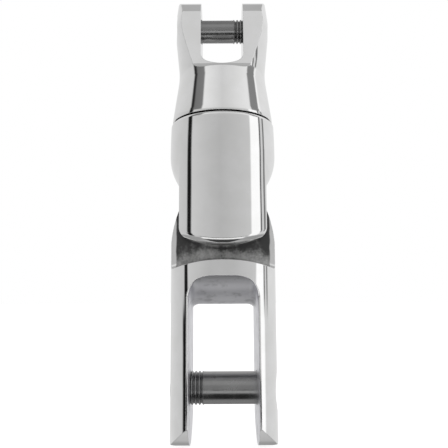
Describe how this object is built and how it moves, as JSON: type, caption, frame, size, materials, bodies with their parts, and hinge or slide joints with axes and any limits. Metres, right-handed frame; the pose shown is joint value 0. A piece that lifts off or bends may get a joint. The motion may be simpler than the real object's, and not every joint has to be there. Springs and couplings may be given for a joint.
{
  "type": "anchor swivel",
  "caption": "Stainless swivel that joins an anchor's shank to its chain: pinned forks at both ends, a full-turn swivel and a sideways joint between.",
  "frame": {"origin": "on the chain pin's axis, midway between the chain fork's ears", "axes": "+Z along the swivel axis towards the chain, +X along both fork pins, +Y along the joint pin towards its plug"},
  "size_m": [0.0368, 0.0368, 0.1545],
  "materials": {
    "polished_steel": "mirror-polished cast stainless steel",
    "pin_steel": "satin turned stainless steel",
    "screw_steel": "plain stainless steel fastener",
    "bush_bronze": "bearing bronze",
    "wear_plastic": "acetal wear part",
    "seal_rubber": "black seal rubber"
  },
  "bodies": {
    "chain_fork": {"chain_clevis": "polished_steel", "swivel_stud": "pin_steel", "stud_lock_screw": "screw_steel"},
    "swivel_body": {"centre_body": "polished_steel", "swivel_collar": "screw_steel", "swivel_seal": "seal_rubber", "collar_bush": "bush_bronze", "thrust_washer": "bush_bronze", "wear_pad": "wear_plastic", "collar_lock_screw": "screw_steel", "hinge_pin": "pin_steel", "hinge_plug": "screw_steel", "hinge_washer_front": "wear_plastic", "hinge_washer_rear": "wear_plastic"},
    "anchor_fork": {"anchor_clevis": "polished_steel", "hinge_bush": "bush_bronze"},
    "chain_pin": {"chain_pin": "pin_steel"},
    "anchor_pin": {"anchor_pin": "pin_steel"}
  },
  "joints": [
    {"name": "swivel_spin", "type": "hinge", "parent": "chain_fork", "child": "swivel_body", "pos_m": [0, 0, -0.0358], "axis": [0, 0, 1], "continuous": true},
    {"name": "side_swing", "type": "hinge", "parent": "swivel_body", "child": "anchor_fork", "pos_m": [0, 0, -0.0674], "axis": [0, 1, 0], "range_deg": [-35, 35]},
    {"name": "chain_pin_slide", "type": "slide", "parent": "chain_fork", "child": "chain_pin", "axis": [-1, 0, 0], "range_m": [0, 0.055]},
    {"name": "anchor_pin_slide", "type": "slide", "parent": "anchor_fork", "child": "anchor_pin", "axis": [1, 0, 0], "range_m": [0, 0.055]}
  ]
}
